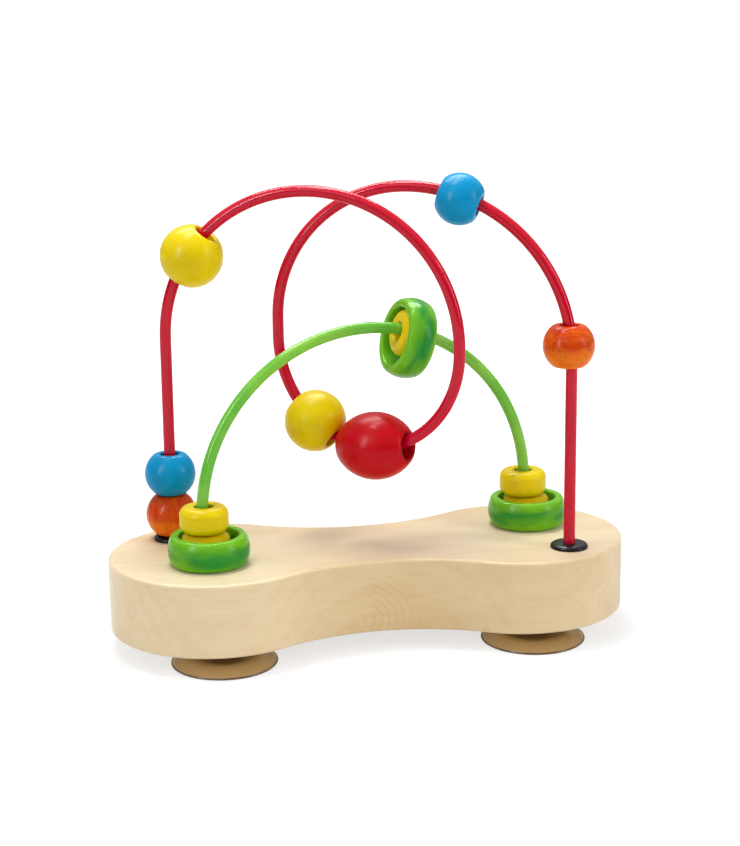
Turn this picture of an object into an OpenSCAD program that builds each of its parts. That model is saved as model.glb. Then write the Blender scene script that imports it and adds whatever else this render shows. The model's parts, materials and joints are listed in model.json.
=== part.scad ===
// Bead maze: a peanut-shaped wooden base on suction cups, with two bent
// plastic-coated wires that carry loose wooden beads and rings.
// Millimetres, Z up. The origin is on the table, under the middle of the base.
// X runs along the base and Y runs from the front to the back.

/* [Base] */
// Length of the wooden base over both lobes
base_length = 250; // [230:1:300]
// Radius of each round lobe
lobe_radius = 50.5; // [47:0.5:58]
// Radius of the hollow sides at the waist
waist_radius = 96; // [80:1:130]
// Thickness of the base board
base_thickness = 35; // [30:0.5:50]
// Rounding along the top and bottom edges of the base
edge_round = 1.5; // [1:0.25:6]

/* [Suction cups] */
// Diameter of a suction cup at its rim
cup_diameter = 50; // [42:0.5:54]
// Height of a cup from its rim to the base
cup_height = 9.5; // [8.5:0.25:14]
// Gap between the rims of the two cups under one lobe
cup_gap = 6; // [2:0.5:12]
// Thickness of a cup's edge at its rim
cup_lip = 1.2; // [0.8:0.1:2]
// Diameter of a cup's neck where it meets the base
cup_neck = 19; // [15:0.5:24]
// Height of the hollow under a cup
cup_hollow = 4.2; // [3.8:0.1:5]
// Diameter of the plug on a cup that sits in the base
plug_diameter = 10; // [8:0.5:13]
// Depth of that plug in the base
plug_depth = 5; // [3:0.5:8]

/* [Wires] */
// Diameter of a wire with its plastic sleeve
wire_diameter = 5.5; // [4.8:0.1:6.4]
// Diameter of the steel core
core_diameter = 4; // [3:0.1:4.4]
// Depth of the sleeve's end in the base
sleeve_depth = 12; // [6:0.5:16]

/* [Red wire] */
// Distance of a red foot from its lobe's centre, outwards along the base
red_foot_out = 17.5; // [12:0.5:20]
// Distance of a red foot from the base's long centre line
red_foot_side = 28.5; // [25:0.5:31]
// Turn of the loop's plane from the base's length, in degrees
loop_turn = 41.5; // [36:0.5:46]
// Radius of the loop's lower half
loop_radius = 49.5; // [46:0.5:54]
// How far the loop's centre lies below the top of the green arch
loop_dip = 7.9; // [0:0.1:12]
// Straight stretch between the loop and the left arch
left_drop = 2; // [1:0.5:10]
// Straight stretch between the loop and the right arch
right_drop = 9; // [4:0.5:16]
// Radius of the right arch's outer shoulder
shoulder_radius = 78.5; // [70:0.5:84]

/* [Green wire] */
// Distance of a green foot from its lobe's centre, outwards along the base
green_foot_out = 7; // [4:0.5:9]
// Distance of a green foot from the base's long centre line
green_foot_side = 15; // [13:0.5:17]
// Height of the green arch's springing above the base
green_leg = 22.5; // [20:0.5:30]

/* [Collars] */
// Diameter of the black collar at each wire foot
collar_diameter = 18; // [14:0.5:20]
// Thickness of a collar at its middle
collar_thickness = 2.4; // [1.8:0.1:3.5]
// Thickness of a collar at its edge
collar_edge = 1.4; // [0.8:0.1:1.7]
// Diameter of the flat top of a collar
collar_flat = 13; // [10:0.5:14]

/* [Round beads] */
// Diameter of the small round beads, blue and orange
small_diameter = 24.5; // [22:0.5:27]
// Length of a small bead along its bore
small_length = 20; // [18:0.5:22]
// Diameter of the flat face round a small bead's bore
small_face = 14; // [11:0.5:16]
// Bore of a small bead
small_bore = 9; // [8.5:0.1:10.5]
// Diameter of the large yellow beads
large_diameter = 30; // [27:0.5:33]
// Length of a large bead along its bore
large_length = 26; // [23:0.5:28]
// Diameter of the flat face round a large bead's bore
large_face = 14.5; // [12:0.5:18]
// Bore of a large bead
large_bore = 10; // [9:0.1:11.5]
// Diameter of the oval red bead
oval_diameter = 32.5; // [29:0.5:36]
// Length of the oval bead along its bore
oval_length = 36; // [32:0.5:40]
// Diameter of the flat face round the oval bead's bore
oval_face = 15; // [14:0.5:18]
// Bore of the oval bead
oval_bore = 12; // [11:0.1:13.5]

/* [Squat beads and rings] */
// Diameter of the squat yellow beads
squat_diameter = 23; // [20:0.5:25]
// Length of a squat bead along its bore
squat_length = 12.5; // [11:0.5:13.5]
// Rounding of a squat bead's edges
squat_round = 4; // [2:0.25:5]
// Bore of a squat bead
squat_bore = 9; // [8.2:0.1:10]
// Outer diameter of the green rings
ring_diameter = 38.5; // [36:0.5:42]
// Length of a green ring along its bore
ring_length = 14; // [12:0.5:16]
// Bore of a green ring
ring_bore = 28; // [26:0.5:30]
// Width of the flat lip at each face of a ring
ring_lip = 3.4; // [2:0.1:3.8]

/* [Where the beads rest] */
// Climb of the large yellow bead round the left arch, in degrees
arch_bead_angle = 35; // [28:1:50]
// Place of the blue bead past the top of the right arch, in degrees
shoulder_bead_angle = 19; // [12:1:26]
// Lean of the oval bead from the bottom of the loop, in degrees
loop_bead_angle = 5; // [0:0.5:10]
// Place of the ring past the top of the green arch, in degrees
top_ring_angle = 15.5; // [8:0.5:20]
// Height of the right orange bead's middle above the straight of its leg
perch_rise = 5.5; // [2:0.5:7]

/* [Fasteners] */
// Width of a wire nut across its flats
nut_width = 7; // [6:0.5:8]
// Thickness of a wire nut
nut_thickness = 3.2; // [2.4:0.1:4]
// Diameter of the washer under a wire nut
washer_diameter = 11; // [9.5:0.5:12]
// Thickness of that washer
washer_thickness = 1; // [0.6:0.1:1.6]
// Length of wire core past its nut
core_end = 1.2; // [0.6:0.1:2]
// Depth of a wire core's end inside the nut pocket
core_recess = 1.6; // [0.8:0.1:3]
// Diameter of a cup screw's shank
screw_diameter = 3.5; // [3:0.1:4]
// Length of a cup screw in the wood
screw_bite = 14; // [10:0.5:18]
// Diameter of a cup screw's head
screw_head = 7; // [6:0.5:8]
// Height of a cup screw's head
screw_head_height = 2.2; // [1.6:0.1:2.4]
// Diameter of a cup washer
cup_washer_diameter = 9; // [8:0.5:10]
// Thickness of a cup washer
cup_washer_thickness = 0.8; // [0.5:0.1:1]

/* [Fits] */
// Gap left between a loose bead and what it rests on
seat_gap = 0.3; // [0.2:0.05:0.4]
// Gap round a piece that is fixed in a hole
fit_gap = 0.1; // [0.05:0.05:0.2]

/* [Hidden] */
$fn = 64;

// Length by which a cut runs past the face it opens
overrun = 1;
// Angle by which a turned sector runs past the plane that trims it, in degrees
turn_overrun = 5;
// Length by which a straight stretch of wire laps over a bend, or a half of the base over its spine
lap = 0.5;
// Small step between two faces that would only touch, so that they cross and join
lap_step = 0.02;

// Share of its free play by which a foot hub has slid along X
hub_shift_share = 0.7;
// Shares of its free play by which a foot ring has slid along X, past its hub: left, right
ring_shift_shares = [0.55, 0.2];
// Shares of its free play by which a cap bead leans in towards the arch: left, right
cap_lean_shares = [0.45, 0.25];
// Half of the angle that a cup's flared side turns through, in degrees
cup_flare = 20;
// Share of a screw's shank that is its point
screw_tip_share = 0.25;
// Shares of a screw's head taken by its cross recess: width, length and depth
recess_shares = [0.16, 0.6, 0.5];

// Levels
base_bottom = cup_height;
base_top = base_bottom + base_thickness;

// Outline of the base: each waist arc is tangent to both lobes
lobe_x = base_length / 2 - lobe_radius;
waist_y = sqrt((lobe_radius + waist_radius) ^ 2 - lobe_x ^ 2);
half_waist = waist_y - waist_radius;
tangent_angle = atan2(waist_y, lobe_x);

// Cups stand two to a lobe, one in front and one behind
cup_y = (cup_diameter + cup_gap) / 2;
cup_places = [[-lobe_x, -cup_y], [lobe_x, -cup_y], [-lobe_x, cup_y], [lobe_x, cup_y]];
// Arc of a cup's flared side, from its neck to its lip
flare_run = [(cup_diameter - cup_neck) / 2, cup_lip - cup_height];
flare_radius = norm(flare_run) / (2 * sin(cup_flare));
flare_centre = [(cup_diameter + cup_neck) / 4, (cup_height + cup_lip) / 2]
    + flare_radius * cos(cup_flare) * [-flare_run[1], flare_run[0]] / norm(flare_run);

// Feet of the wires: the left feet are the right feet turned half round
red_foot = [lobe_x + red_foot_out, -red_foot_side];
green_foot = [lobe_x + green_foot_out, green_foot_side];
feet = [red_foot, -red_foot, green_foot, -green_foot];

// Green wire: a half circle on two short legs
green_radius = norm(green_foot);
green_turn = atan2(green_foot[1], green_foot[0]);
green_z = base_top + green_leg;

// Red wire: two arches in parallel upright planes, joined by the loop's lower half
loop_end = loop_radius * [cos(loop_turn), -sin(loop_turn)];
arch_run = loop_end + red_foot;
arch_span = norm(arch_run);
arch_turn = atan2(arch_run[1], arch_run[0]);
arch_way = arch_run / arch_span;
loop_z = green_z + green_radius - loop_dip;
left_radius = arch_span / 2;
left_centre = (loop_end - red_foot) / 2;
left_spring_z = loop_z + left_drop;
inner_radius = arch_span - shoulder_radius;
right_spring_z = loop_z + right_drop;
crown = inner_radius * arch_way - loop_end;
crown_z = right_spring_z + inner_radius;
right_leg_z = crown_z - shoulder_radius;

// Wire ends: the core's hole, and the pocket under the base for its washer and nut
core_hole = core_diameter + 2 * fit_gap;
pocket_diameter = washer_diameter + 4 * fit_gap;
pocket_depth = washer_thickness + nut_thickness + core_end + core_recess;
core_foot_z = base_bottom + core_recess;

// Free play of a bore round a wire, and how a bead hangs on a bend
function play(bore) = (bore - wire_diameter) / 2;
// Under an arch the middle of the wire carries the bore
function hung_radius(radius, bore) = radius - play(bore) + seat_gap;
// In the loop the wire carries the two ends of the bore
function cradled_radius(radius, bore, length) =
    sqrt((radius - wire_diameter / 2) ^ 2 - length ^ 2 / 4) + bore / 2 - seat_gap;
// Angle from a bead's middle to the inner edge of its face, seen from the bend's centre
function face_angle(radius, length, face) = atan2(length / 2, radius - face / 2);
// Radius of a turned side through a bead's widest point and the edge of its face
function side_radius(drop, length) = (drop ^ 2 + length ^ 2 / 4) / (2 * drop);

// The large loop bead leans on the oval one, face edge to face edge
oval_radius = cradled_radius(loop_radius, oval_bore, oval_length);
loop_bead_radius = cradled_radius(loop_radius, large_bore, large_length);
pair_angle = face_angle(oval_radius, oval_length, oval_face)
    + face_angle(loop_bead_radius, large_length, large_face)
    + asin(seat_gap / (loop_bead_radius - large_face / 2));

// Levels of the foot stacks
collar_top = base_top + collar_thickness;
left_orange_z = collar_top + seat_gap + small_length / 2;
left_blue_z = left_orange_z + small_length + seat_gap;
ring_z = base_top + seat_gap + ring_length / 2;
hub_z = collar_top + seat_gap + squat_length / 2;
cap_z = hub_z + squat_length + seat_gap;
hub_shift = hub_shift_share * play(squat_bore);
ring_play = (ring_bore - squat_diameter) / 2;
perch_lean = play(small_bore) - seat_gap;

// The top ring hangs on its hub
hub_radius = hung_radius(green_radius, squat_bore);
top_ring_radius = hub_radius - ring_play + seat_gap;

// Section of the base from its middle out to a rounded side
module board_section(reach) {
    square([reach - edge_round, base_thickness]);
    translate([0, edge_round]) square([reach, base_thickness - 2 * edge_round]);
    for (z = [edge_round, base_thickness - edge_round])
        translate([reach - edge_round, z]) circle(edge_round);
}

// Hole for one wire: sleeve above, core below, nut pocket underneath
module wire_hole() {
    translate([0, 0, base_top - sleeve_depth])
        cylinder(h = sleeve_depth + overrun, d = wire_diameter + 2 * fit_gap);
    translate([0, 0, base_bottom]) cylinder(h = base_thickness, d = core_hole);
    translate([0, 0, base_bottom - overrun]) cylinder(h = pocket_depth + overrun, d = pocket_diameter);
}

// Hole for one cup: a seat for its plug and a pilot for its screw
module cup_hole() {
    translate([0, 0, base_bottom - overrun])
        cylinder(h = plug_depth + fit_gap + overrun, d = plug_diameter + 2 * fit_gap);
    translate([0, 0, base_bottom])
        cylinder(h = plug_depth + screw_bite + overrun, d = screw_diameter + 2 * fit_gap);
}

// A quarter of the board, at the back on the right. The lobe and the waist are turned in
// the lobe's own frame, where they meet on a plane, and are then set in place and trimmed.
module board_quarter() {
    intersection() {
        translate([lobe_x, 0, base_bottom]) rotate([0, 0, 180 - tangent_angle]) {
            mirror([0, 1, 0])
                rotate_extrude(angle = 180 - tangent_angle + turn_overrun) board_section(lobe_radius);
            translate([lobe_radius + waist_radius, 0, 0]) mirror([1, 0, 0])
                rotate_extrude(angle = 90 - tangent_angle + turn_overrun)
                    translate([waist_radius + base_length, 0])
                        mirror([1, 0]) board_section(base_length);
        }
        translate([0, lap / 2, base_bottom - overrun])
            cube([base_length, base_length, base_thickness + 2 * overrun]);
    }
}

// The back half of the board with its holes: the front half is the same, turned half round
module board_half() {
    difference() {
        union() {
            board_quarter();
            mirror([1, 0, 0]) board_quarter();
        }
        for (foot = [green_foot, -red_foot]) translate(foot) wire_hole();
        for (side = [-1, 1]) translate([side * lobe_x, cup_y]) cup_hole();
    }
}

// A thin spine along the centre line joins the two halves
module board_spine() {
    intersection() {
        union() {
            for (side = [-1, 1])
                translate([side * lobe_x, 0, base_bottom])
                    rotate([0, 0, 90]) rotate_extrude() board_section(lobe_radius - lap_step);
            translate([-lobe_x, -half_waist / 2, base_bottom])
                cube([2 * lobe_x, half_waist, base_thickness]);
        }
        translate([-base_length, -lap, 0]) cube([2 * base_length, 2 * lap, base_top + overrun]);
    }
}

module base() {
    color("burlywood") {
        board_half();
        rotate([0, 0, 180]) board_half();
        board_spine();
    }
}

// Suction cup: a flared skirt with a shallow hollow, a neck and a plug
module suction_cup() {
    color("peru") difference() {
        rotate_extrude() difference() {
            square([cup_diameter / 2, cup_height]);
            translate(flare_centre) circle(flare_radius);
        }
        rotate_extrude() polygon([
            [0, -overrun], [cup_diameter / 2 - cup_lip, -overrun], [cup_diameter / 2 - cup_lip, 0],
            [cup_washer_diameter / 2 + cup_lip, cup_hollow], [0, cup_hollow]
        ]);
        cylinder(h = cup_height + overrun, d = screw_diameter + 2 * fit_gap);
    }
    color("peru") translate([0, 0, cup_height]) difference() {
        cylinder(h = plug_depth, d = plug_diameter);
        translate([0, 0, -overrun]) cylinder(h = plug_depth + 2 * overrun, d = screw_diameter + 2 * fit_gap);
    }
}

module suction_cup_front_left() { translate(cup_places[0]) suction_cup(); }
module suction_cup_front_right() { translate(cup_places[1]) suction_cup(); }
module suction_cup_back_left() { translate(cup_places[2]) suction_cup(); }
module suction_cup_back_right() { translate(cup_places[3]) suction_cup(); }

// Cup screw: pan head below its washer, pointed shank up into the wood
module cup_screw() {
    head_top = cup_hollow - cup_washer_thickness;
    shank = base_bottom + plug_depth + screw_bite - head_top;
    tip = screw_tip_share * screw_bite;
    difference() {
        union() {
            translate([0, 0, head_top - screw_head_height]) cylinder(h = screw_head_height, d = screw_head);
            translate([0, 0, head_top]) cylinder(h = shank - tip, d = screw_diameter);
            translate([0, 0, head_top + shank - tip]) cylinder(h = tip, d1 = screw_diameter, d2 = 0);
        }
        for (turn = [0, 90])
            translate([0, 0, head_top - screw_head_height])
                rotate([0, 0, turn])
                    cube([
                        recess_shares[0] * screw_head,
                        recess_shares[1] * screw_head,
                        2 * recess_shares[2] * screw_head_height
                    ], center = true);
    }
}

module cup_screws() { color("silver") for (place = cup_places) translate(place) cup_screw(); }

module flat_washer(outer, bore, thickness) {
    difference() {
        cylinder(h = thickness, d = outer);
        translate([0, 0, -overrun]) cylinder(h = thickness + 2 * overrun, d = bore);
    }
}

module cup_washers() {
    color("silver") for (place = cup_places)
        translate([place[0], place[1], cup_hollow - cup_washer_thickness])
            flat_washer(cup_washer_diameter, screw_diameter + 2 * fit_gap, cup_washer_thickness);
}

// Sections of a wire: solid for the core, a tube for the sleeve
module wire_section(outer, bore) {
    difference() {
        circle(d = outer);
        if (bore > 0) circle(d = bore);
    }
}

// A straight stretch is a hair thicker than a bend and laps over its end, so that they join
module wire_straight(outer, bore, from, to) {
    translate([0, 0, from])
        linear_extrude(to - from)
            wire_section(outer + 2 * lap_step, bore > 0 ? bore - 2 * lap_step : 0);
}

// Bend in the XZ plane about the origin, from +X round towards +Z
module wire_bend(outer, bore, radius, angle) {
    rotate([90, 0, 0]) rotate_extrude(angle = angle) translate([radius, 0]) wire_section(outer, bore);
}

module red_path(outer, bore, foot_z) {
    translate(-red_foot) wire_straight(outer, bore, foot_z, left_spring_z + lap);
    translate([left_centre[0], left_centre[1], left_spring_z])
        rotate([0, 0, arch_turn]) wire_bend(outer, bore, left_radius, 180);
    translate(loop_end) wire_straight(outer, bore, loop_z - lap, left_spring_z + lap);
    translate([0, 0, loop_z])
        rotate([0, 180, -loop_turn]) wire_bend(outer, bore, loop_radius, 180);
    translate(-loop_end) wire_straight(outer, bore, loop_z - lap, right_spring_z + lap);
    translate([crown[0], crown[1], crown_z]) rotate([0, 0, arch_turn]) {
        translate([0, 0, -shoulder_radius]) wire_bend(outer, bore, shoulder_radius, 90);
        rotate([0, 90, 0]) wire_straight(outer, bore, -lap, lap);
        translate([0, 0, -inner_radius]) mirror([1, 0, 0]) wire_bend(outer, bore, inner_radius, 90);
    }
    translate(red_foot) wire_straight(outer, bore, foot_z, right_leg_z + lap);
}

module green_path(outer, bore, foot_z) {
    translate(-green_foot) wire_straight(outer, bore, foot_z, green_z + lap);
    translate([0, 0, green_z]) rotate([0, 0, green_turn]) wire_bend(outer, bore, green_radius, 180);
    translate(green_foot) wire_straight(outer, bore, foot_z, green_z + lap);
}

module red_wire_core() { color("silver") red_path(core_diameter, 0, core_foot_z); }
module green_wire_core() { color("silver") green_path(core_diameter, 0, core_foot_z); }

module red_wire_sleeve() {
    color("crimson") red_path(wire_diameter, core_hole, base_top - sleeve_depth);
}

module green_wire_sleeve() {
    color("yellowgreen") green_path(wire_diameter, core_hole, base_top - sleeve_depth);
}

// Collar: a flat black cap round the wire's foot, with a sloping edge
module collar() {
    color("black") translate([0, 0, base_top]) difference() {
        union() {
            cylinder(h = collar_edge, d = collar_diameter);
            translate([0, 0, collar_edge])
                cylinder(h = collar_thickness - collar_edge, d1 = collar_diameter, d2 = collar_flat);
        }
        translate([0, 0, -overrun])
            cylinder(h = collar_thickness + 2 * overrun, d = wire_diameter + 2 * fit_gap);
    }
}

module red_collar_left() { translate(-red_foot) collar(); }
module red_collar_right() { translate(red_foot) collar(); }
module green_collar_left() { translate(-green_foot) collar(); }
module green_collar_right() { translate(green_foot) collar(); }

module wire_washers() {
    color("silver") for (foot = feet)
        translate([foot[0], foot[1], base_bottom + pocket_depth - washer_thickness])
            flat_washer(washer_diameter, core_hole, washer_thickness);
}

module wire_nuts() {
    color("silver") for (foot = feet)
        translate([foot[0], foot[1], core_foot_z + core_end]) difference() {
            cylinder(h = nut_thickness, d = nut_width / cos(30), $fn = 6);
            translate([0, 0, -overrun])
                cylinder(h = nut_thickness + 2 * overrun, d = core_hole);
        }
}

// Turned bead on the Z axis: a round side between two flat faces, and a bore
module turned_bead(diameter, length, face, bore) {
    side = side_radius((diameter - face) / 2, length);
    rotate_extrude() intersection() {
        translate([diameter / 2 - side, 0]) circle(side);
        translate([bore / 2, -length / 2]) square([(diameter - bore) / 2, length]);
    }
}

module small_bead() { turned_bead(small_diameter, small_length, small_face, small_bore); }
module large_bead() { turned_bead(large_diameter, large_length, large_face, large_bore); }
module oval_bead() { turned_bead(oval_diameter, oval_length, oval_face, oval_bore); }
module ring() { turned_bead(ring_diameter, ring_length, ring_bore + 2 * ring_lip, ring_bore); }

// Squat bead on the Z axis: a flat disc with well rounded edges, and a bore
module squat_bead() {
    edge = squat_diameter / 2 - squat_round;
    rotate_extrude() difference() {
        union() {
            translate([0, -squat_length / 2]) square([edge, squat_length]);
            translate([0, squat_round - squat_length / 2])
                square([squat_diameter / 2, squat_length - 2 * squat_round]);
            for (side = [-1, 1])
                translate([edge, side * (squat_length / 2 - squat_round)]) circle(squat_round);
        }
        translate([0, -squat_length]) square([squat_bore / 2, 2 * squat_length]);
    }
}

// Place on an arc in the XZ plane, with the bead's bore along the arc
module on_arc(radius, angle) { rotate([0, -angle, 0]) translate([radius, 0, 0]) children(); }

module on_left_arch(angle, bore) {
    translate([left_centre[0], left_centre[1], left_spring_z])
        rotate([0, 0, arch_turn]) on_arc(hung_radius(left_radius, bore), angle) children();
}

module on_shoulder(angle, bore) {
    translate([crown[0], crown[1], right_leg_z])
        rotate([0, 0, arch_turn]) on_arc(hung_radius(shoulder_radius, bore), angle) children();
}

module on_loop(radius, angle) {
    translate([0, 0, loop_z]) rotate([0, 0, -loop_turn]) on_arc(radius, angle) children();
}

module on_green(radius, angle) {
    translate([0, 0, green_z]) rotate([0, 0, green_turn]) on_arc(radius, angle) children();
}

module orange_bead_left() {
    color("orangered") translate([-red_foot[0], -red_foot[1], left_orange_z]) small_bead();
}

module blue_bead_left() {
    color("deepskyblue") translate([-red_foot[0], -red_foot[1], left_blue_z]) small_bead();
}

module yellow_bead_arch() {
    color("gold") on_left_arch(180 - arch_bead_angle, large_bore) large_bead();
}

module red_bead_loop() {
    color("red") on_loop(oval_radius, loop_bead_angle - 90) oval_bead();
}

module yellow_bead_loop() {
    color("gold") on_loop(loop_bead_radius, loop_bead_angle - pair_angle - 90) large_bead();
}

module blue_bead_arch() {
    color("deepskyblue") on_shoulder(90 - shoulder_bead_angle, small_bore) small_bead();
}

module orange_bead_right() {
    place = red_foot - perch_lean * arch_way;
    color("orangered") translate([place[0], place[1], right_leg_z + perch_rise]) small_bead();
}

module foot_ring(foot, shift_share) {
    place = foot + [hub_shift + shift_share * ring_play, 0];
    color("limegreen") translate([place[0], place[1], ring_z]) ring();
}

module foot_hub(foot) { color("gold") translate([foot[0] + hub_shift, foot[1], hub_z]) squat_bead(); }

module foot_cap(foot, lean_share) {
    place = foot * (1 - lean_share * play(squat_bore) / green_radius);
    color("gold") translate([place[0], place[1], cap_z]) squat_bead();
}

module green_ring_left() { foot_ring(-green_foot, ring_shift_shares[0]); }
module green_ring_right() { foot_ring(green_foot, ring_shift_shares[1]); }
module yellow_hub_left() { foot_hub(-green_foot); }
module yellow_hub_right() { foot_hub(green_foot); }
module yellow_cap_left() { foot_cap(-green_foot, cap_lean_shares[0]); }
module yellow_cap_right() { foot_cap(green_foot, cap_lean_shares[1]); }

module green_ring_top() {
    color("limegreen") on_green(top_ring_radius, 90 - top_ring_angle) ring();
}

module yellow_hub_top() {
    color("gold") on_green(hub_radius, 90 - top_ring_angle) squat_bead();
}

base();
suction_cup_front_left();
suction_cup_front_right();
suction_cup_back_left();
suction_cup_back_right();
cup_screws();
cup_washers();
red_wire_core();
red_wire_sleeve();
green_wire_core();
green_wire_sleeve();
red_collar_left();
red_collar_right();
green_collar_left();
green_collar_right();
wire_washers();
wire_nuts();
orange_bead_left();
blue_bead_left();
yellow_bead_arch();
red_bead_loop();
yellow_bead_loop();
blue_bead_arch();
orange_bead_right();
green_ring_left();
yellow_hub_left();
yellow_cap_left();
green_ring_right();
yellow_hub_right();
yellow_cap_right();
green_ring_top();
yellow_hub_top();
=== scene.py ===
"""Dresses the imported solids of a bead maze.

Builds the board, suction cups, fasteners, coated wires, collars, turned beads and rings, and a white studio.
"""
import json
from math import asin, atan2, cos, hypot, pi, radians, sin, sqrt, tau

import bmesh
import bpy
from bpy.props import FloatProperty, FloatVectorProperty, IntProperty, PointerProperty
from mathutils import Matrix, Vector


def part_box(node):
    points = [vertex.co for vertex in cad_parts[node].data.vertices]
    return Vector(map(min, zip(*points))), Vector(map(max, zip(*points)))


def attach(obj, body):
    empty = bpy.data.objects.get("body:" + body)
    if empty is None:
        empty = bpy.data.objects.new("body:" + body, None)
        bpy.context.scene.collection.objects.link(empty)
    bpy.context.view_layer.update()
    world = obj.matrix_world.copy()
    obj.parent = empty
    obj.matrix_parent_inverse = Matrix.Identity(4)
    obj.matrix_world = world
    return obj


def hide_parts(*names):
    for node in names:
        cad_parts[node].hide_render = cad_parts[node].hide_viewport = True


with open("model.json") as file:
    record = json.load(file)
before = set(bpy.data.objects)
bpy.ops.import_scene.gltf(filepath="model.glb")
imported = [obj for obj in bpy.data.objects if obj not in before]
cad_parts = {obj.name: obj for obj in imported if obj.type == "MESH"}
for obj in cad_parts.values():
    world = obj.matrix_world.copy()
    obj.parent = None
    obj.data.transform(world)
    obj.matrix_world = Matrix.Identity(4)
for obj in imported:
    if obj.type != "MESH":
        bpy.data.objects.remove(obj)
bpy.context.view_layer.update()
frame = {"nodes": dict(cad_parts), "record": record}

bl_info = {
    "name": "Bead maze",
    "version": (1, 0, 0),
    "blender": (4, 5, 0),
    "location": "3D View > Sidebar > Bead maze",
    "description": "Builds a toddler's bead maze on its packed frame",
    "category": "Object",
}

STAND = "stand"
UP = Vector((0, 0, 1))
JOINTS = {joint["child"]: joint for joint in frame["record"]["behaviour"]["joints"]}
COLLARS = ("red_collar_left", "red_collar_right", "green_collar_left", "green_collar_right")
CUPS = ("suction_cup_front_left", "suction_cup_front_right", "suction_cup_back_left", "suction_cup_back_right")

# How the fibres of a bead lie to its bore, and how far apart in the wood the beads are cut
ALONG, ACROSS = 0, pi / 2
FIBRE_STEP = 0.07

# Faces round the small turned parts, and round a pocket
CUP_SIDES, COLLAR_SIDES, FASTENER_SIDES, POCKET_SIDES = 96, 64, 48, 40

# Turns of a screw's thread, the cosine at which an arm of its cross ends, and the cross's reach between arms
THREAD_TURNS, CROSS_ARM, CROSS_GAP = 9, 0.93, 0.3

# Points of a line that lie closer than this are one point
SAME_POINT = 1e-5

# Each lamp's name, place, width, height and power, and whether it lights the part or is only mirrored in it
LAMPS = (
    ("overhead", (-0.1, 0.12, 1.1), 0.7, 0.22, 8.6, True),
    ("back_card", (0, 0.5, 0.95), 0.9, 0.3, 12.0, False),
    ("left_card", (-0.85, -0.5, 0.5), 0.2, 0.6, 4.6, False),
    ("key", (-0.8, -0.7, 0.9), 0.8, 0.8, 2.8, True),
    ("fill", (0.95, -0.6, 0.5), 0.3, 0.7, 3.9, True),
)
LAMP_TARGET = Vector((0, 0, 0.09))

# The tent's soft light, and in mirrored views how dim its sides are and the height from which it is white
TENT_LIGHT, DIM_SIDES, WHITE_FROM = 0.42, 0.12, 0.6

# The floor's reach, its shade as it throws light back and as it is seen, and its glow at two distances
FLOOR_REACH = 6.0
THROWN_SHADE, SEEN_SHADE = (0.8, 0.8, 0.8), (0.4, 0.4, 0.4)
GLOW_NEAR, GLOW_FAR = (0.2, 0.68), (0.5, 1.0)

# The photo's camera: lens and sensor in millimetres, angles, and the point it aims at with its distance
LENS, SENSOR, NEAR_CLIP = 80.494, 36, 0.01
AZIMUTH, ELEVATION, ROLL = radians(-11.02), radians(13.51), radians(-0.624)
AIM, DISTANCE = Vector((0.001295, 0, 0.10384)), 0.9006


def paint(red, green, blue):
    """Linear colour of display values from 0 to 255."""
    shares = [value / 255 for value in (red, green, blue)]
    return tuple(share / 12.92 if share <= 0.04045 else ((share + 0.055) / 1.055) ** 2.4 for share in shares)


def length(name, default, description):
    """A property that holds a length in metres."""
    return FloatProperty(name=name, description=description, default=default, min=0, unit="LENGTH", precision=5)


def tint(name, default, description):
    """A property that holds a colour."""
    return FloatVectorProperty(name=name, description=description, default=paint(*default), size=3, min=0, max=1,
                               subtype="COLOR")


class BoardSizes(bpy.types.PropertyGroup):
    """Sizes of the wooden board and what is set into it."""
    lobe_radius: length("Lobe radius", 0.0505, "Radius of the board's two round ends")
    waist_radius: length("Waist radius", 0.096, "Radius of the hollow between the ends")
    edge_round: length("Edge round", 0.0015, "Rounding of the board's edges")
    pocket_diameter: length("Pocket diameter", 0.0116, "Diameter of the nuts' pockets under the board")
    cup_diameter: length("Cup diameter", 0.050, "Diameter of a suction cup's rim")
    cup_lip: length("Cup lip", 0.0012, "Thickness of a suction cup's rim")
    cup_neck: length("Cup neck", 0.019, "Diameter of a suction cup's neck")
    cup_hollow: length("Cup hollow", 0.0042, "Depth of the hollow under a cup")
    screw_head: length("Screw head", 0.007, "Diameter of a cup screw's head")
    screw_diameter: length("Screw diameter", 0.0035, "Diameter of a cup screw's shank")
    nut_width: length("Nut width", 0.007, "Width of a nut across its flats")


class WireSizes(bpy.types.PropertyGroup):
    """Sizes of the coated wires and their collars."""
    diameter: length("Wire diameter", 0.0055, "Diameter of a coated wire")
    core_diameter: length("Core diameter", 0.004, "Diameter of the steel core")
    sides: IntProperty(name="Sides", description="Faces round a coated wire", default=28, min=8, max=64)
    collar_diameter: length("Collar diameter", 0.018, "Diameter of a collar's foot")
    collar_flat: length("Collar flat", 0.013, "Diameter at which a collar's dome levels off")


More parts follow.
